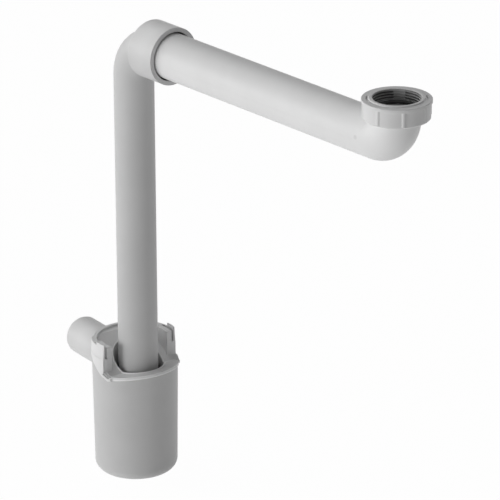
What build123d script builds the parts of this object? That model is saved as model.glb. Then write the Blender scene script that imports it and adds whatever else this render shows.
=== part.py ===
"""Space-saving washbasin trap: a cup with a wall outlet, a latched cover, a dip tube with a
bend and socket, and a horizontal arm that ends in a threaded union nut.

Frame: the origin is on the outlet spigot's axis, just inside its lead-in, +Y runs along the
outlet towards the wall and +Z is up. Lengths are in millimetres.
"""

import os
from math import cos, radians, sin, tan

from build123d import *

# General sizes
wall = 2.2
running_gap = 0.05
free_gap = 0.3
margin = 4.0

# Outlet spigot
outlet_diameter = 34.3
outlet_wall = 2.4
outlet_length = 87.3
outlet_lead = 2.5
outlet_lead_depth = 0.9
outlet_datum = 3.0
outlet_free_length = 48.0
outlet_root_draft = 3.0
outlet_root_length = 12.0

# Cup
cup_base_radius = 36.4
cup_top_radius = 37.7
cup_corner = 9.0
cup_floor = 2.6
outlet_height = 96.5

# Joint between cup and cover, seen from the side: lowest at its bend, rising to both ends
joint_bend = -13.5
joint_bend_height = 95.4
joint_front_slope = 11.0
joint_back_slope = 27.4
joint_back_height = 118.0
seal_width = 2.1
seal_side_gap = 0.1
seat_step = 0.2
seal_thickness = 2.0
seal_seat = 3.0

# Cover
band_proud = 0.3
band_height = 3.1
plate_bend = -13.0
plate_bend_height = 99.2
plate_front_slope = 7.0
plate_back_slope = 30.0
plate_back_height = 122.2
hood_radius = 36.2
hood_height = 124.2
hood_front = -8.0
hood_wall = 6.6
recess_front = 9.0
recess_wall = 3.0
plug_wall = 2.0
plug_depth = 4.0

# Latches, one on each side of the cover
latch_proud = 2.4
lever_proud = 2.2
lug_proud = 1.4
slot_outset = 0.3
latch_front = -7.6
latch_back = 22.0
latch_overlap = 1.2
latch_flare = 1.3
latch_flare_height = 9.0
lug_height = 127.2
lug_back = 3.4
slot_width = 2.0
slot_foot_height = 114.0
slot_back = 8.5
lip_front = -16.5
lip_height = 2.4
lip_root = 1.0

# Dip tube
tube_diameter = 35.0
tube_wall = 1.9
tube_setback = 5.4
tube_foot_height = 32.0
arm_height = 399.8
bend_radius = 29.5

# Well of the cover that the dip tube passes through
well_radius = 22.0
well_wall = 2.2
well_foot_height = 84.0
well_floor = 2.5
tube_seal_height = 5.5
tube_seal_chamfer = 1.4

# Socket on the dip tube's bend
socket_diameter = 50.4
socket_reach = 53.2
socket_length = 31.0
socket_mouth_radius = 21.4
socket_seal_depth = 4.0
socket_seal_length = 6.0
socket_guide_gap = 0.3
socket_bore_depth = 25.0
socket_round = 3.0
socket_back_round = 2.0

# Arm
arm_diameter = 40.0
arm_wall = 1.9
arm_turn = 6.5
arm_reach = 329.6
arm_play = 1.5
elbow_radius = 22.0
elbow_end_radius = 19.9

# Union: collar of the arm, gasket and nut with a G 1 1/4 thread
thread_minor_radius = 19.476
collar_neck_radius = 18.3
collar_thickness = 2.3
gasket_thickness = 2.0
gasket_bore_radius = 15.6
nut_top_height = 37.2
nut_height = 16.6
nut_radius = 27.4
nut_skirt = 1.7
nut_skirt_radius = 21.0
nut_lip = 2.0
nut_relief = 1.0
nut_rim_height = 1.0
nut_rim_radius = 22.6
nut_mouth_chamfer = 0.5
nut_band_radius = 28.6
nut_band_height = 2.9
nut_band_chamfer = 0.4
nut_foot_chamfer = 1.2
bead_count = 8
bead_phase = 14.0
rim_slot_phase = 50.0
bead_radius = 2.0
bead_proud = 1.0
rim_slot_count = 2
rim_slot_radius = 24.3
rim_slot_width = 1.2
rim_slot_angle = 26.0
rim_slot_depth = 1.5

# Levels and places worked out from the sizes above
base_z = -outlet_height
cup_y = outlet_datum - outlet_length
tube_y = cup_y - tube_setback
arm_z = base_z + arm_height
outlet_radius = outlet_diameter / 2
tube_radius = tube_diameter / 2
arm_radius = arm_diameter / 2
cup_draft = (cup_top_radius - cup_base_radius) / joint_bend_height
cup_bore = cup_top_radius - wall
seal_outer = cup_bore - seal_side_gap
seal_inner = seal_outer - seal_width
seat_radius = seal_inner - seat_step
plug_radius = seat_radius - free_gap
latch_outer = hood_radius + latch_proud
lug_outer = hood_radius + lug_proud
lever_outer = hood_radius + lever_proud
slot_outer = hood_radius + slot_outset
well_foot_z = base_z + well_foot_height
reach = cup_top_radius + margin

# Directions of the arm, which stands turned a little from the outlet's line
arm_way = Vector(sin(radians(arm_turn)), -cos(radians(arm_turn)), 0)
arm_side = Plane(origin=(0, tube_y, 0), x_dir=arm_way, z_dir=arm_way.cross(Vector(0, 0, 1)))
arm_axis = Axis((0, tube_y, arm_z), arm_way)
cup_axis = Axis((0, cup_y, 0), (0, 0, 1))
nut_centre = Vector(0, tube_y, 0) + arm_way * arm_reach
nut_axis = Axis(nut_centre, (0, 0, 1))
cup_side = Plane.XZ.offset(-cup_y)
outlet_mouth = Plane.XZ.offset(-outlet_datum)
nut_side = Plane(origin=nut_centre, x_dir=arm_way, z_dir=arm_way.cross(Vector(0, 0, 1)))


def level(height):
    """The horizontal plane that lies this high above the underside of the cup."""
    return Plane.XY.offset(base_z + height)


def side_line(bend_at, bend_height, front_slope, back_slope, back_height, shift=0.0):
    """Side view of a sloped surface: its front end, its bend, its upper bend and its back end."""
    low = base_z + bend_height + shift
    high = base_z + back_height + shift
    front = low + tan(radians(front_slope)) * (reach + bend_at)
    run = (high - low) / tan(radians(back_slope))
    return [
        (cup_y - reach, front),
        (cup_y + bend_at, low),
        (cup_y + bend_at + run, high),
        (cup_y + reach, high),
    ]


def joint_line(shift):
    """Side view of the joint between cup and cover, moved up by shift."""
    return side_line(joint_bend, joint_bend_height, joint_front_slope, joint_back_slope,
                     joint_back_height, shift)


def plate_line():
    """Side view of the top of the cover's plate."""
    return side_line(plate_bend, plate_bend_height, plate_front_slope, plate_back_slope,
                     plate_back_height)


def level_line(height):
    """Side view of a level at this height above the underside of the cup."""
    return [(cup_y - reach, base_z + height), (cup_y + reach, base_z + height)]


def ring(outer, inner, lower, upper, centre_y=cup_y):
    """A round column or ring cut to the space between two lines of the side view."""
    with BuildPart() as tool:
        with BuildSketch(level(0)):
            with Locations((0, centre_y)):
                Circle(outer)
                if inner > 0:
                    Circle(inner, mode=Mode.SUBTRACT)
        extrude(amount=hood_height + reach)
        with BuildSketch(Plane.YZ):
            with BuildLine():
                Polyline(*lower, *reversed(upper), close=True)
            make_face()
        extrude(amount=reach, both=True, mode=Mode.INTERSECT)
    return tool.part


def span(front, back, low, high, inside=0.0):
    """A pair of blocks, left and right of the middle, between two places along the outlet."""
    with BuildPart() as tool:
        with BuildSketch(level(low)):
            for side in (-1, 1):
                with Locations((side * (inside + reach) / 2, cup_y + (front + back) / 2)):
                    Rectangle(reach - inside, back - front)
        extrude(amount=high - low)
    return tool.part


# Trap body: the cup and its outlet spigot, one moulding
far_above = level_line(hood_height + reach)
seal_rebate = ring(cup_bore, 0, joint_line(-seal_thickness), far_above)
cavity = ring(cup_bore, 0, level_line(cup_floor), joint_line(-seal_thickness - seal_seat))
cavity = cavity.fillet(cup_corner - wall, cavity.edges().group_by(Axis.Z)[0])
above_joint = ring(reach, 0, joint_line(0), far_above)

with BuildPart() as trap_body:
    with BuildSketch(cup_side) as cup_section:
        with BuildLine():
            top = base_z + hood_height
            Polyline(
                (0, top),
                (0, base_z),
                (cup_base_radius, base_z),
                (cup_base_radius + cup_draft * hood_height, top),
                close=True,
            )
        make_face()
        corner = cup_section.vertices().group_by(Axis.Y)[0].sort_by(Axis.X)[-1]
        fillet(corner, cup_corner)
    revolve(axis=cup_axis)
    with BuildSketch(outlet_mouth):
        Circle(outlet_radius)
    extrude(amount=outlet_length)
    mouth_face = trap_body.faces().sort_by(Axis.Y)[-1]
    chamfer(mouth_face.edges(), outlet_lead_depth, outlet_lead, reference=mouth_face)
    with BuildSketch(outlet_mouth.offset(outlet_free_length)):
        Circle(outlet_radius)
    extrude(amount=outlet_root_length, taper=-outlet_root_draft)
    add(above_joint, mode=Mode.SUBTRACT)
    add(seal_rebate, mode=Mode.SUBTRACT)
    add(cavity, mode=Mode.SUBTRACT)
    with BuildSketch(level(cup_floor + cup_corner)):
        with Locations((0, cup_y)):
            Circle(seat_radius)
    extrude(amount=hood_height, mode=Mode.SUBTRACT)
    with BuildSketch(outlet_mouth):
        Circle(outlet_radius - outlet_wall)
    extrude(amount=outlet_length, mode=Mode.SUBTRACT)

trap_body.part.label = "trap_body"

# Cover seal: a flat rubber ring that follows the joint
cover_seal_ring = ring(seal_outer, seal_inner, joint_line(-seal_thickness), joint_line(0))

with BuildPart() as cover_seal:
    add(cover_seal_ring)

cover_seal.part.label = "cover_seal"

# Pieces of the cover's form: plate, band, plug, hood and its cuts
band_radius = cup_top_radius + band_proud
plate = ring(hood_radius, 0, joint_line(0), plate_line())
band = ring(band_radius, 0, joint_line(0), joint_line(band_height))
plug = ring(plug_radius, plug_radius - plug_wall, joint_line(-plug_depth), joint_line(band_height))
hood = ring(hood_radius, hood_radius - hood_wall, joint_line(0), level_line(hood_height))
hood_span = span(hood_front, reach, 0, hood_height)
recess = ring(hood_radius - recess_wall, 0, plate_line(), far_above)
recess_span = span(recess_front, reach, 0, hood_height + reach)
slot = ring(slot_outer, slot_outer - slot_width, level_line(slot_foot_height), far_above)
slot_span = span(-reach, slot_back, 0, hood_height + reach)
below_rim = ring(cup_top_radius + free_gap, 0, level_line(0), joint_line(0))
lip_ring = ring(latch_outer + latch_flare, hood_radius - lip_root, joint_line(0), joint_line(lip_height))
lip_span = span(lip_front, latch_front, 0, hood_height)
latch_ring = ring(reach, hood_radius, joint_line(-latch_overlap), level_line(lug_height))
latch_span = span(latch_front, latch_back, 0, lug_height)
behind_lug = span(lug_back, reach, hood_height, hood_height + reach)

with BuildPart() as latches:
    with BuildSketch(cup_side):
        with BuildLine():
            foot = base_z + joint_bend_height - latch_overlap
            waist = foot + latch_flare_height
            top = base_z + lug_height
            Polyline(
                (0, foot),
                (latch_outer + latch_flare, foot),
                (latch_outer, waist),
                (latch_outer, base_z + slot_foot_height),
                (lever_outer, base_z + slot_foot_height),
                (lug_outer, top),
                (0, top),
                close=True,
            )
        make_face()
    revolve(axis=cup_axis)
    add(latch_ring, mode=Mode.INTERSECT)
    add(latch_span, mode=Mode.INTERSECT)
    add(behind_lug, mode=Mode.SUBTRACT)

with BuildPart() as hood_walls:
    add(hood)
    add(hood_span, mode=Mode.INTERSECT)

with BuildPart() as hood_recess:
    add(recess)
    add(recess_span, mode=Mode.INTERSECT)

with BuildPart() as latch_slots:
    add(slot)
    add(slot_span, mode=Mode.INTERSECT)

with BuildPart() as latch_lips:
    add(lip_ring)
    add(lip_span, mode=Mode.INTERSECT)

# Trap cover: plate, hood, well for the dip tube and two latches, one moulding
with BuildPart() as trap_cover:
    add(hood_walls.part)
    add(hood_recess.part, mode=Mode.SUBTRACT)
    add(latches.part)
    add(latch_slots.part, mode=Mode.SUBTRACT)
    add(plate)
    add(band)
    add(latch_lips.part)
    add(below_rim, mode=Mode.SUBTRACT)
    add(plug)
    with BuildSketch(Plane.XY.offset(well_foot_z)):
        with Locations((0, tube_y)):
            Circle(well_radius + well_wall)
    extrude(amount=plate_bend_height - well_foot_height)
    with BuildSketch(Plane.XY.offset(well_foot_z + well_floor)):
        with Locations((0, tube_y)):
            Circle(well_radius)
    extrude(amount=hood_height, mode=Mode.SUBTRACT)
    with BuildSketch(Plane.XY.offset(well_foot_z)):
        with Locations((0, tube_y)):
            Circle(tube_radius + free_gap)
    extrude(amount=hood_height, mode=Mode.SUBTRACT)

trap_cover.part.label = "trap_cover"

# Seal between the well and the dip tube
with BuildPart() as tube_lip_seal:
    with BuildSketch(Plane.XY.offset(well_foot_z + well_floor)):
        with Locations((0, tube_y)):
            Circle(well_radius - running_gap)
            Circle(tube_radius + running_gap, mode=Mode.SUBTRACT)
    extrude(amount=tube_seal_height)
    chamfer(tube_lip_seal.edges().group_by(Axis.Z)[-1], tube_seal_chamfer)

tube_lip_seal.part.label = "tube_lip_seal"


def disc(plane, radius):
    """A round face on a plane."""
    with BuildSketch(plane) as face:
        Circle(radius)
    return face.sketch


def round_pipe(plane, radius, start, end, mode):
    """A round length along a plane's normal, between two distances from the plane."""
    extrude(disc(plane.offset(start), radius), amount=end - start, mode=mode)


def bend_pipe(radius, foot, mode):
    """A pipe from the foot of the dip tube up and round its bend."""
    bend_start = arm_z - bend_radius
    round_pipe(tube_plane, radius, foot, bend_start, mode)
    turn = Axis(bend_centre, arm_side.z_dir)
    revolve(disc(tube_plane.offset(bend_start), radius), turn, -90, mode=mode)


# Dip tube with its bend and the socket for the arm, one moulding
bend_centre = arm_axis.position + arm_way * bend_radius - Vector(0, 0, bend_radius)
tube_foot_z = base_z + tube_foot_height
socket_start = socket_reach - socket_length
socket_stop = socket_reach - socket_bore_depth
seal_near = socket_reach - socket_seal_depth
seal_far = seal_near - socket_seal_length

tube_plane = Plane((0, tube_y, 0), x_dir=arm_way, z_dir=(0, 0, 1))
arm_plane = Plane(arm_axis.position, z_dir=arm_way)

with BuildPart() as dip_tube:
    bend_pipe(tube_radius, tube_foot_z, Mode.ADD)
    with BuildSketch(arm_side) as socket_section:
        with BuildLine():
            Polyline(
                (socket_start, arm_z),
                (socket_start, arm_z + socket_diameter / 2),
                (socket_reach, arm_z + socket_diameter / 2),
                (socket_reach, arm_z),
                close=True,
            )
        make_face()
        rims = socket_section.vertices().group_by(Axis.Z)[-1].sort_by(arm_axis)
        fillet(rims[-1], socket_round)
        rims = socket_section.vertices().group_by(Axis.Z)[-1].sort_by(arm_axis)
        fillet(rims[0], socket_back_round)
    revolve(axis=arm_axis)
    round_pipe(arm_plane, tube_radius, bend_radius, socket_reach, Mode.ADD)
    bend_pipe(tube_radius - tube_wall, tube_foot_z, Mode.SUBTRACT)
    round_pipe(arm_plane, tube_radius - tube_wall, bend_radius, socket_reach, Mode.SUBTRACT)
    round_pipe(arm_plane, arm_radius + socket_guide_gap, socket_stop, socket_reach, Mode.SUBTRACT)
    round_pipe(arm_plane, socket_mouth_radius, seal_far, socket_reach, Mode.SUBTRACT)

dip_tube.part.label = "dip_tube"

# Seal between the socket and the arm
with BuildPart() as arm_lip_seal:
    round_pipe(arm_plane, socket_mouth_radius - running_gap, seal_far, seal_near, Mode.ADD)
    round_pipe(arm_plane, arm_radius + running_gap, seal_far, seal_near, Mode.SUBTRACT)

arm_lip_seal.part.label = "arm_lip_seal"

# Arm with its elbow and the collar that the nut holds, one moulding
arm_start = socket_stop + arm_play
elbow_start = arm_reach - elbow_radius
elbow_centre = arm_axis.position + arm_way * elbow_start + Vector(0, 0, elbow_radius)
nut_foot_z = arm_z + nut_top_height - nut_height
lip_z = nut_foot_z + nut_skirt + nut_lip
collar_z = lip_z + running_gap
gasket_z = collar_z + collar_thickness
collar_radius = thread_minor_radius - free_gap / 2
collar_plane = Plane(nut_centre, x_dir=arm_way, z_dir=(0, 0, 1))


def elbow_pipe(start_radius, end_radius, mode):
    """The elbow from the arm's size to the neck's size, swept round a quarter turn."""
    start = disc(Plane(elbow_centre - Vector(0, 0, elbow_radius), z_dir=arm_way), start_radius)
    end = disc(Plane(elbow_centre + arm_way * elbow_radius, z_dir=(0, 0, 1)), end_radius)
    sweep(sections=[start, end], path=elbow_route, multisection=True, mode=mode)


with BuildLine() as elbow_line:
    ThreePointArc(
        elbow_centre - Vector(0, 0, elbow_radius),
        elbow_centre + (arm_way - Vector(0, 0, 1)).normalized() * elbow_radius,
        elbow_centre + arm_way * elbow_radius,
    )
elbow_route = elbow_line.line

with BuildPart() as arm:
    round_pipe(arm_plane, arm_radius, arm_start, elbow_start, Mode.ADD)
    elbow_pipe(arm_radius, elbow_end_radius, Mode.ADD)
    round_pipe(collar_plane, collar_neck_radius, elbow_centre.Z, gasket_z, Mode.ADD)
    round_pipe(collar_plane, collar_radius, collar_z, gasket_z, Mode.ADD)
    round_pipe(arm_plane, arm_radius - arm_wall, arm_start, elbow_start, Mode.SUBTRACT)
    elbow_pipe(arm_radius - arm_wall, collar_neck_radius - arm_wall, Mode.SUBTRACT)
    round_pipe(collar_plane, collar_neck_radius - arm_wall, elbow_centre.Z, gasket_z, Mode.SUBTRACT)

arm.part.label = "arm"

# Flat gasket on the collar
with BuildPart() as union_gasket:
    round_pipe(collar_plane, collar_radius, gasket_z, gasket_z + gasket_thickness, Mode.ADD)
    round_pipe(collar_plane, gasket_bore_radius, gasket_z, gasket_z + gasket_thickness, Mode.SUBTRACT)

union_gasket.part.label = "union_gasket"

# Union nut: a plain band above, beads below, an inner thread and a lip under the collar
nut_top_z = arm_z + nut_top_height
rim_z = nut_top_z + nut_rim_height
thread_foot_z = gasket_z + gasket_thickness
band_z = nut_top_z - nut_band_height
relief_radius = thread_minor_radius + nut_relief

with BuildPart() as union_nut:
    with BuildSketch(nut_side):
        with BuildLine():
            Polyline(
                (collar_neck_radius + free_gap, nut_foot_z + nut_skirt),
                (nut_skirt_radius, nut_foot_z + nut_skirt),
                (nut_skirt_radius, nut_foot_z),
                (nut_radius - nut_foot_chamfer, nut_foot_z),
                (nut_radius, nut_foot_z + nut_foot_chamfer),
                (nut_radius, band_z),
                (nut_band_radius, band_z),
                (nut_band_radius, nut_top_z - nut_band_chamfer),
                (nut_band_radius - nut_band_chamfer, nut_top_z),
                (nut_rim_radius, nut_top_z),
                (nut_rim_radius, rim_z - nut_band_chamfer),
                (nut_rim_radius - nut_band_chamfer, rim_z),
                (thread_minor_radius + nut_mouth_chamfer, rim_z),
                (thread_minor_radius, rim_z - nut_mouth_chamfer),
                (thread_minor_radius, thread_foot_z),
                (relief_radius, thread_foot_z),
                (relief_radius, lip_z),
                (collar_neck_radius + free_gap, lip_z),
                close=True,
            )
        make_face()
    revolve(axis=nut_axis)
    with BuildSketch(collar_plane.offset(nut_foot_z + nut_foot_chamfer)):
        with PolarLocations(nut_radius + bead_proud - bead_radius, bead_count, bead_phase):
            Circle(bead_radius)
    extrude(amount=band_z - nut_foot_z - nut_foot_chamfer)
    with BuildSketch(collar_plane.offset(nut_top_z - rim_slot_depth)):
        for slot_index in range(rim_slot_count):
            start = rim_slot_phase + slot_index * 360 / rim_slot_count - rim_slot_angle / 2
            with BuildLine():
                outside = CenterArc((0, 0), rim_slot_radius + rim_slot_width / 2, start, rim_slot_angle)
                inside = CenterArc((0, 0), rim_slot_radius - rim_slot_width / 2, start, rim_slot_angle)
                Line(outside @ 0, inside @ 0)
                Line(outside @ 1, inside @ 1)
            make_face()
    extrude(amount=rim_slot_depth, mode=Mode.SUBTRACT)

union_nut.part.label = "union_nut"

os.makedirs("parts", exist_ok=True)
pieces = [
    trap_body, cover_seal, trap_cover, tube_lip_seal, dip_tube, arm_lip_seal, arm,
    union_gasket, union_nut,
]
for piece in pieces:
    export_step(piece.part, f"parts/{piece.part.label}.step")
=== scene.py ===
"""Looks of the sink trap: camera, light, floor, plastic and rubber for the solids, and the pieces
that the solids leave out: the threaded nut, two rims of the cover and part of its well's wall.

Lengths are in metres, in the frame of the solids. Those of the nut are in millimetres.
"""

from math import cos, pi, radians, sin, sqrt, tan

import bmesh
import bpy
from mathutils import Matrix, Vector


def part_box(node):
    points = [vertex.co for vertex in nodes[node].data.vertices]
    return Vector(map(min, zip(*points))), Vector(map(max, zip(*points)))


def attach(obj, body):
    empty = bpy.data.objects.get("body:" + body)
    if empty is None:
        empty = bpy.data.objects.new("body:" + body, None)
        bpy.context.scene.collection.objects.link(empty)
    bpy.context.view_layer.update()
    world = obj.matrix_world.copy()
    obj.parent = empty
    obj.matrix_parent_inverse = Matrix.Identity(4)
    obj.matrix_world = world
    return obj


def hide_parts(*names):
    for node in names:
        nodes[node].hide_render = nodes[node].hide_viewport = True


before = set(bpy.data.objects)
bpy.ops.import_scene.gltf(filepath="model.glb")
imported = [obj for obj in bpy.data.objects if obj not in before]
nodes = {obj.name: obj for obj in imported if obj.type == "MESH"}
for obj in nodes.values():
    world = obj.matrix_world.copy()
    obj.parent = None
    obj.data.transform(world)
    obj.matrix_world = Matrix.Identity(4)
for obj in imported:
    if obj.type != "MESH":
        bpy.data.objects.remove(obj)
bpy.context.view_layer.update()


def box_centre(name):
    """Centre of a solid's box."""
    low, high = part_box(name)
    return (Vector(low) + Vector(high)) / 2


# Places of the solids: the axes of the tube, the arm and the cup, and the cup's foot
tube_setback = 0.0054
tube_y = box_centre("tube_lip_seal").y
arm_z = box_centre("arm_lip_seal").z
cup_y = tube_y + tube_setback
base_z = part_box("trap_body")[0][2]

# Camera, fitted to the outlines in the photograph
view_turn = radians(-34.341)
view_lift = radians(21.916)
view_roll = radians(-0.262)
view_distance = 3.486901
view_shift = (0.099439, -0.177926)
view_end = 20
focal_pixels = 4091.847
image_pixels = 500
sensor_mm = 36.0

# Light: an even world, and soft suns by name, turn from +X, height, strength and width in degrees
world_light = 0.14
suns = [
    ("left", 180, 5, 1.20, 25),
    ("left_back", 150, 5, 0.60, 25),
    ("back", 122, 5, 0.40, 25),
    ("top", 110, 62, 0.60, 40),
    ("right", -5, 12, 0.12, 40),
]

# Floor, just under the cup, with a faint glow and a share of plain white where it is seen
floor_size = 12
floor_gap = 0.0005
floor_shade = 0.9
floor_roughness = 0.9
floor_glow = 0.3
floor_whiteness = 0.97

# Tones of the pieces. The cover, arm and nut are lighter copies of the cup's plastic: painted light
cup_shade = 0.58
cover_tone_and_painted_light = 0.79
# The rims' still lighter copy of the cover's plastic is a painted highlight along their edges
rim_painted_highlight = 0.95
arm_tone_and_painted_light = 0.76
nut_tone_and_painted_light = 0.69
# Darker copies on the nut's thread, crests and grooves: painted shade inside the nut
crest_painted_shade = 0.42
groove_painted_shade = 0.14

# Lighter or darker spots of a piece: centre, where the full tone ends, where the fading ends, and
# how many times the plain tone
arm_mark = ((0.01468, -0.39255, 0.30482), 0.0012, 0.0023, 0.88)
# Painted shade: the cover is darkened round the tube's foot in its well
well_painted_shade = ((0, tube_y, -0.016), 0.0245, 0.0275, 0.15)
# Painted light: the body is drawn lighter round the top of its outlet
outlet_painted_light = ((0, -0.015, 0.022), 0.012, 0.048, 1.38)
# Painted light: the tube is drawn lighter round the top of its socket
socket_painted_light = ((0.0043, -0.1275, 0.3310), 0.012, 0.045, 1.45)

# Plastic and rubber. Noises by scale, detail and roughness
edge_round = 0.0007
bump_depth = 0.0001
mottle_noise = (28.0, 3.0, 0.55)
mottle_share = 0.965
mottle_band = (0.35, 0.65)
gloss_band = (0.42, 0.52)
grain_noise = (2600.0, 2.0, 0.5)
grain_strength = 0.06
plastic_specular = 0.3
dust_noise = (180.0, 4.0, 0.6)
dust_strength = 0.15
rubber_tones = (0.012, 0.03)
rubber_roughness = 0.75

# Side views of the cover's two sloped surfaces: where the bend is along the outlet, its height, the
# slopes to the front and to the back in degrees, and the height where the back slope ends
joint_side = (cup_y - 0.0135, base_z + 0.0954, 11.0, 27.4, base_z + 0.1180)
plate_side = (cup_y - 0.0130, base_z + 0.0992, 7.0, 30.0, base_z + 0.1222)

# Rounded rims of the cover: radius, half their thickness, and height above the sloped surface
rim_steps = 240
rim_sides = 12
band_rim = (37.65e-3, 0.75e-3, 0.85e-3)
mouth_rim = (22.45e-3, 0.7e-3, 0.2e-3)

# Wall of the cover's well behind the tube: from the solid's level edge up into the sloping plate
well_radii = (21.95e-3, 24.2e-3)
well_overlap = 0.0003
well_foot = plate_side[1] - well_overlap
well_bite = 0.0008
well_least = 0.0002

# Union nut, in millimetres, and in degrees from the arm's direction. Its profile lists radius,
# height above its foot and kind of surface
mm = 0.001
arm_turn = 6.5
nut_steps = 576
nut_profile = [
    (18.6, 3.7, "plain"), (18.6, 1.7, "plain"), (21.0, 1.7, "plain"), (21.0, 0.0, "plain"),
    (26.2, 0.0, "plain"), (27.4, 1.2, "plain"), (27.4, 1.5, "bead"), (27.4, 13.7, "bead"),
    (28.59, 13.7, "plain"), (28.59, 16.2, "plain"), (28.2, 16.6, "plain"), (24.9, 16.6, "plain"),
    (24.85, 16.6, "slot"), (23.75, 16.6, "slot"), (23.7, 16.6, "plain"), (22.6, 16.6, "plain"),
    (22.6, 17.2, "plain"), (22.2, 17.6, "plain"), (19.976, 17.6, "plain"),
]
nut_relief = (20.476, 3.7, "plain")
edge_cut = 0.2
corner_turn = 0.3
corner_room = 3
bead_count = 8
bead_phase = 14
bead_place = 26.4
bead_round = 2.0
slot_count = 2
slot_phase = 50
slot_angle = 26
slot_depth = 1.5

# Thread of the nut, with a smooth strip on two sides
thread_minor = 19.476
thread_depth = 1.35
thread_pitch = 2.309
thread_flat = 0.15
thread_foot = 8.05
thread_top = 17.1
thread_rows = 56
thread_fade = 0.9
groove_from = 0.55
strip_count = 2
strip_phase = 131
strip_angle = 26
strip_fade = 2
strip_thread = 0.2

# Places of the thread's two painted-shade materials in the nut's list, and how the drawn meshes are
# finished
crest_index = 1
groove_index = 2
weld_distance = 1e-7
sharp_angle = radians(35)


def set_up_camera():
    """The camera at the photograph's angle, aimed from where the tube meets the arm's axis."""
    flat_right = Vector((cos(view_turn), sin(view_turn), 0))
    flat_back = Vector((sin(view_turn), -cos(view_turn), 0))
    back = flat_back * cos(view_lift) + Vector((0, 0, sin(view_lift)))
    flat_up = back.cross(flat_right)
    right = flat_right * cos(view_roll) + flat_up * sin(view_roll)
    up = flat_up * cos(view_roll) - flat_right * sin(view_roll)
    place = Vector((0, tube_y, arm_z)) + back * view_distance
    place += right * view_shift[0] + up * view_shift[1]
    data = bpy.data.cameras.new("camera")
    data.sensor_width = sensor_mm
    data.lens = focal_pixels * sensor_mm / image_pixels
    data.clip_end = view_end
    camera = bpy.data.objects.new("camera", data)
    bpy.context.scene.collection.objects.link(camera)
    camera.matrix_world = Matrix((
        (right.x, up.x, back.x, place.x),
        (right.y, up.y, back.y, place.y),
        (right.z, up.z, back.z, place.z),
        (0, 0, 0, 1),
    ))
    bpy.context.scene.camera = camera


def add_node(tree, kind, operation=None, **inputs):
    """A new node with constant values on its inputs, whose spaces are written as underscores."""
    node = tree.nodes.new(kind)
    if operation:
        node.operation = operation
    for name, value in inputs.items():
        node.inputs[name.replace("_", " ")].default_value = value
    return node


def link(source, output, target, socket):
    """Join an output of one node to an input of another."""
    source.id_data.links.new(source.outputs[output], target.inputs[socket])


def add_sun(name, turn, height, strength, softness):
    """A sun whose light comes from this turn and height."""
    data = bpy.data.lights.new(name, "SUN")
    data.energy = strength
    data.angle = radians(softness)
    lamp = bpy.data.objects.new(name, data)
    flat = cos(radians(height))
    comes_from = Vector((cos(radians(turn)) * flat, sin(radians(turn)) * flat, sin(radians(height))))
    lamp.rotation_euler = comes_from.to_track_quat("Z", "Y").to_euler()
    bpy.context.scene.collection.objects.link(lamp)


def seen_directly(tree):
    """1 on rays from the camera, mirror rays and rays through glass, and 0 on rays of light."""
    path = tree.nodes.new("ShaderNodeLightPath")
    first = add_node(tree, "ShaderNodeMath", "MAXIMUM")
    both = add_node(tree, "ShaderNodeMath", "MAXIMUM")
    link(path, "Is Camera Ray", first, 0)
    link(path, "Is Glossy Ray", first, 1)
    link(first, "Value", both, 0)
    link(path, "Is Transmission Ray", both, 1)
    return both


def set_up_light():
    """The suns and a world that lights evenly and is seen as plain white."""
    world = bpy.data.worlds.new("studio")
    bpy.context.scene.world = world
    world.use_nodes = True
    tree = world.node_tree
    even_light = tree.nodes["Background"]
    even_light.name = "even_light"
    even_light.inputs["Color"].default_value = (1, 1, 1, 1)
    even_light.inputs["Strength"].default_value = world_light
    white = add_node(tree, "ShaderNodeBackground", Color=(1, 1, 1, 1))
    mix = tree.nodes.new("ShaderNodeMixShader")
    link(seen_directly(tree), "Value", mix, "Fac")
    link(even_light, "Background", mix, 1)
    link(white, "Background", mix, 2)
    link(mix, "Shader", tree.nodes["World Output"], "Surface")
    for sun in suns:
        add_sun(*sun)
    bpy.context.scene.view_settings.view_transform = "Standard"


def new_material(name):
    """A new material, with its node tree and its shader."""
    material = bpy.data.materials.new(name)
    material.use_nodes = True
    return material, material.node_tree, material.node_tree.nodes["Principled BSDF"]


def set_up_floor():
    """The pale floor, which keeps a faint shadow and is otherwise seen as white."""
    bpy.ops.mesh.primitive_plane_add(size=floor_size, location=(0, 0, base_z - floor_gap))
    floor = bpy.context.object
    floor.name = "floor"
    material, tree, shader = new_material("floor")
    shader.inputs["Base Color"].default_value = (floor_shade, floor_shade, floor_shade, 1)
    shader.inputs["Roughness"].default_value = floor_roughness
    shader.inputs["Specular IOR Level"].default_value = 0.0
    shader.inputs["Emission Color"].default_value = (1, 1, 1, 1)
    shader.inputs["Emission Strength"].default_value = floor_glow
    white = tree.nodes.new("ShaderNodeEmission")
    whiteness = add_node(tree, "ShaderNodeMath", "MULTIPLY")
    whiteness.inputs[1].default_value = floor_whiteness
    mix = tree.nodes.new("ShaderNodeMixShader")
    link(seen_directly(tree), "Value", whiteness, 0)
    link(whiteness, "Value", mix, "Fac")
    link(shader, "BSDF", mix, 1)
    link(white, "Emission", mix, 2)
    link(mix, "Shader", tree.nodes["Material Output"], "Surface")
    floor.data.materials.append(material)


def add_noise(tree, place, sizes):
    """Noise fixed to the piece, by scale, detail and roughness."""
    scale, detail, roughness = sizes
    noise = add_node(tree, "ShaderNodeTexNoise", Scale=scale, Detail=detail, Roughness=roughness)
    link(place, "Object", noise, "Vector")
    return noise


def add_greys(tree, noise, shades, band):
    """Greys between two shades, over a band of the noise's values."""
    greys = tree.nodes.new("ShaderNodeValToRGB")
    for element, position, shade in zip(greys.color_ramp.elements, band, shades):
        element.position = position
        element.color = (shade, shade, shade, 1)
    link(noise, "Fac", greys, "Fac")
    return greys


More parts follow.
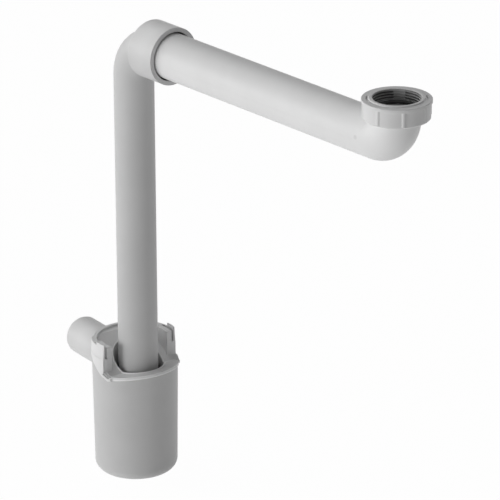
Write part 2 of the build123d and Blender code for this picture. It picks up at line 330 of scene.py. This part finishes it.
def add_spot(tree, place, greys, spot):
    """The greys made lighter or darker round a point, fading back to plain."""
    centre, full, end, factor = spot
    distance = add_node(tree, "ShaderNodeVectorMath", "DISTANCE")
    distance.inputs[1].default_value = centre
    fade = add_node(tree, "ShaderNodeMapRange", From_Min=full, From_Max=end, To_Min=factor)
    scaled = add_node(tree, "ShaderNodeVectorMath", "SCALE")
    link(place, "Object", distance, 0)
    link(distance, "Value", fade, "Value")
    link(greys, "Color", scaled, 0)
    link(fade, "Result", scaled, "Scale")
    return scaled


def plastic(name, shade, rounding=edge_round, spot=None):
    """Satin moulded plastic: faint mottling in its tone and gloss, and a very fine moulded grain."""
    material, tree, shader = new_material(name)
    place = tree.nodes.new("ShaderNodeTexCoord")
    mottle = add_noise(tree, place, mottle_noise)
    greys = add_greys(tree, mottle, (shade * mottle_share, shade), mottle_band)
    # A spot lightens or darkens the tone round a point: painted light on the outlet and socket,
    # painted shade in the well, and a real mark on the arm
    if spot:
        link(add_spot(tree, place, greys, spot), "Vector", shader, "Base Color")
    else:
        link(greys, "Color", shader, "Base Color")
    gloss = add_node(tree, "ShaderNodeMapRange", To_Min=gloss_band[0], To_Max=gloss_band[1])
    link(mottle, "Fac", gloss, "Value")
    link(gloss, "Result", shader, "Roughness")
    bump = add_node(tree, "ShaderNodeBump", Strength=grain_strength, Distance=bump_depth)
    if rounding:
        link(add_node(tree, "ShaderNodeBevel", Radius=rounding), "Normal", bump, "Normal")
    link(add_noise(tree, place, grain_noise), "Fac", bump, "Height")
    link(bump, "Normal", shader, "Normal")
    shader.inputs["Specular IOR Level"].default_value = plastic_specular
    return material


def rubber(name):
    """Black rubber: nearly matt, with a dusty mottling."""
    material, tree, shader = new_material(name)
    place = tree.nodes.new("ShaderNodeTexCoord")
    dust = add_noise(tree, place, dust_noise)
    link(add_greys(tree, dust, rubber_tones, (0, 1)), "Color", shader, "Base Color")
    bump = add_node(tree, "ShaderNodeBump", Strength=dust_strength, Distance=bump_depth)
    link(dust, "Fac", bump, "Height")
    link(bump, "Normal", shader, "Normal")
    shader.inputs["Roughness"].default_value = rubber_roughness
    return material


def dress(names, material):
    """Give one material to some solids."""
    for name in names:
        mesh = nodes[name].data
        mesh.materials.clear()
        mesh.materials.append(material)


def closed_form(rings):
    """A form through a loop of equal rings of points, and its faces, one list for each ring."""
    form = bmesh.new()
    loops = [[form.verts.new(point) for point in ring] for ring in rings]
    rows = []
    for row, loop in enumerate(loops):
        before = loops[row - 1]
        rows.append([
            form.faces.new((loop[step], loop[step - 1], before[step - 1], before[step]))
            for step in range(len(loop))
        ])
    return form, rows


def add_piece(name, form, materials):
    """A new piece from a form, smooth apart from its sharp edges."""
    bmesh.ops.remove_doubles(form, verts=form.verts, dist=weld_distance)
    bmesh.ops.recalc_face_normals(form, faces=form.faces)
    mesh = bpy.data.meshes.new(name)
    form.to_mesh(mesh)
    form.free()
    mesh.shade_smooth()
    mesh.set_sharp_from_angle(angle=sharp_angle)
    for material in materials:
        mesh.materials.append(material)
    piece = bpy.data.objects.new(name, mesh)
    bpy.context.scene.collection.objects.link(piece)
    return piece


def add_to_cover(name, sections, material):
    """A new piece that belongs to the cover's moulding."""
    form, _ = closed_form(sections)
    piece = add_piece(name, form, [material])
    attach(piece, "cover")


def side_height(side, along):
    """Height of a sloped surface of the cover, at a place along the outlet."""
    bend, low, front_slope, back_slope, high = side
    if along < bend:
        return low + tan(radians(front_slope)) * (bend - along)
    return min(low + tan(radians(back_slope)) * (along - bend), high)


def outward_ways():
    """Level directions all round, evenly spaced."""
    turns = [2 * pi * step / rim_steps for step in range(rim_steps)]
    return [Vector((sin(turn), cos(turn), 0)) for turn in turns]


def make_rim(name, centre_y, side, sizes, material):
    """A thin rounded rim on the cover, round an upright axis and along a sloped surface."""
    radius, half_thickness, lift = sizes
    sections = []
    for out in outward_ways():
        place = out * radius + Vector((0, centre_y, 0))
        place.z = side_height(side, place.y) + lift
        section = []
        for corner in range(rim_sides):
            angle = 2 * pi * corner / rim_sides
            around = out * cos(angle) + Vector((0, 0, sin(angle)))
            section.append(place + around * half_thickness)
        sections.append(section)
    add_to_cover(name, sections, material)


def make_well_wall(material):
    """The wall that closes the well between the solid's level edge and the plate's underside."""
    sections = []
    for out in outward_ways():
        feet = [out * radius + Vector((0, tube_y, well_foot)) for radius in well_radii]
        tops = []
        for foot in reversed(feet):
            top = side_height(joint_side, foot.y) + well_bite
            tops.append(Vector((foot.x, foot.y, max(top, well_foot + well_least))))
        sections.append(feet + tops)
    add_to_cover("well_wall", sections, material)


def soften(profile, cut):
    """The closed profile with its real corners cut off a little, where both sides are long enough."""
    points = []
    for index, (radius, height, kind) in enumerate(profile):
        here = Vector((radius, height))
        ends = [Vector(profile[index - 1][:2]), Vector(profile[(index + 1) % len(profile)][:2])]
        sides = [end - here for end in ends]
        turned = abs(sides[0].normalized().cross(sides[1].normalized())) > corner_turn
        if turned and min(side.length for side in sides) > corner_room * cut:
            for side in sides:
                points.append((*(here + side.normalized() * cut), kind))
        else:
            points.append((radius, height, kind))
    return points


def off_centre(angle, count, phase):
    """Degrees between this angle and the nearest of some evenly spaced ones."""
    gap = 360 / count
    return (angle - phase + gap / 2) % gap - gap / 2


def clamp(value):
    """The value, held between 0 and 1."""
    return min(max(value, 0), 1)


def bead_radius(radius, angle):
    """The nut's radius where a round bead stands out of it, or else the plain one."""
    turn = radians(off_centre(angle, bead_count, bead_phase))
    inside = bead_round ** 2 - (bead_place * sin(turn)) ** 2
    if inside <= 0:
        return radius
    return max(radius, bead_place * cos(turn) + sqrt(inside))


def groove_depth(height, angle):
    """Depth of the helical groove, which fades out at both ends and nearly so at the strips."""
    along = (height / thread_pitch - angle / 360) % 1
    flank = clamp(abs(2 * along - 1) * (1 + 2 * thread_flat) - thread_flat)
    ends = min((height - thread_foot) / thread_fade, (thread_top - height) / thread_fade, 1)
    past_strip = abs(off_centre(angle, strip_count, strip_phase)) - strip_angle / 2
    cut = strip_thread + (1 - strip_thread) * clamp(past_strip / strip_fade)
    return thread_depth * flank * ends * cut


def nut_point(radius, height, kind, angle):
    """Radius and height of the nut's surface on one line of its profile, at one angle."""
    if kind == "bead":
        radius = bead_radius(radius, angle)
    if kind == "slot" and abs(off_centre(angle, slot_count, slot_phase)) < slot_angle / 2:
        height -= slot_depth
    if kind == "thread":
        radius += groove_depth(height, angle)
    return radius, height


def make_nut():
    """The union nut with its inner thread, beads and rim slots, as a grid round its axis."""
    foot_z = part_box("union_nut")[0][2]
    centre = box_centre("union_nut")
    ahead = Vector((sin(radians(arm_turn)), -cos(radians(arm_turn)), 0))
    aside = Vector((0, 0, 1)).cross(ahead)
    thread = [
        (thread_minor, thread_top + (thread_foot - thread_top) * row / thread_rows, "thread")
        for row in range(thread_rows + 1)
    ]
    relief_top = (nut_relief[0], thread_foot, "plain")
    profile = soften(nut_profile, edge_cut) + thread + [relief_top, nut_relief]
    rings = []
    for line in profile:
        ring = []
        for step in range(nut_steps):
            angle = 360 * step / nut_steps
            radius, height = nut_point(*line, angle)
            out = ahead * cos(radians(angle)) + aside * sin(radians(angle))
            place = out * radius * mm
            ring.append((centre.x + place.x, centre.y + place.y, foot_z + height * mm))
        rings.append(ring)
    form, rows = closed_form(rings)
    # The thread's faces get darker copies of the nut's plastic, darkest in the grooves: painted shade
    for line, faces in zip(profile, rows):
        if line[2] == "thread":
            for face in faces:
                from_axis = face.calc_center_median() - centre
                depth = from_axis.xy.length / mm - thread_minor
                face.material_index = groove_index if depth > groove_from else crest_index
    nut = add_piece("threaded_nut", form, [
        plastic("nut_plastic", nut_tone_and_painted_light, 0),
        plastic("crest_painted_shade_plastic", crest_painted_shade, 0),
        plastic("groove_painted_shade_plastic", groove_painted_shade, 0),
    ])
    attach(nut, "nut")
    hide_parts("union_nut")


set_up_camera()
set_up_light()
set_up_floor()
# The body's plastic is lighter round the top of the outlet: painted light
dress(["trap_body"], plastic("body_plastic", cup_shade, spot=outlet_painted_light))
# The cover's plastic is darkened in the well round the tube: painted shade
cover_plastic = plastic("cover_plastic", cover_tone_and_painted_light, spot=well_painted_shade)
dress(["trap_cover"], cover_plastic)
make_well_wall(cover_plastic)
# The rims are drawn in a lighter copy of the cover's plastic: a painted highlight
rim_highlight_plastic = plastic("rim_highlight_plastic", rim_painted_highlight)
make_rim("band_rim", cup_y, joint_side, band_rim, rim_highlight_plastic)
make_rim("mouth_rim", tube_y, plate_side, mouth_rim, rim_highlight_plastic)
# The tube's plastic is lighter round the top of its socket: painted light
dress(["dip_tube"], plastic("tube_plastic", cup_shade, spot=socket_painted_light))
dress(["arm"], plastic("arm_plastic", arm_tone_and_painted_light, spot=arm_mark))
make_nut()
dress(["cover_seal", "tube_lip_seal", "arm_lip_seal"], rubber("seal_rubber"))
dress(["union_gasket"], rubber("gasket_rubber"))
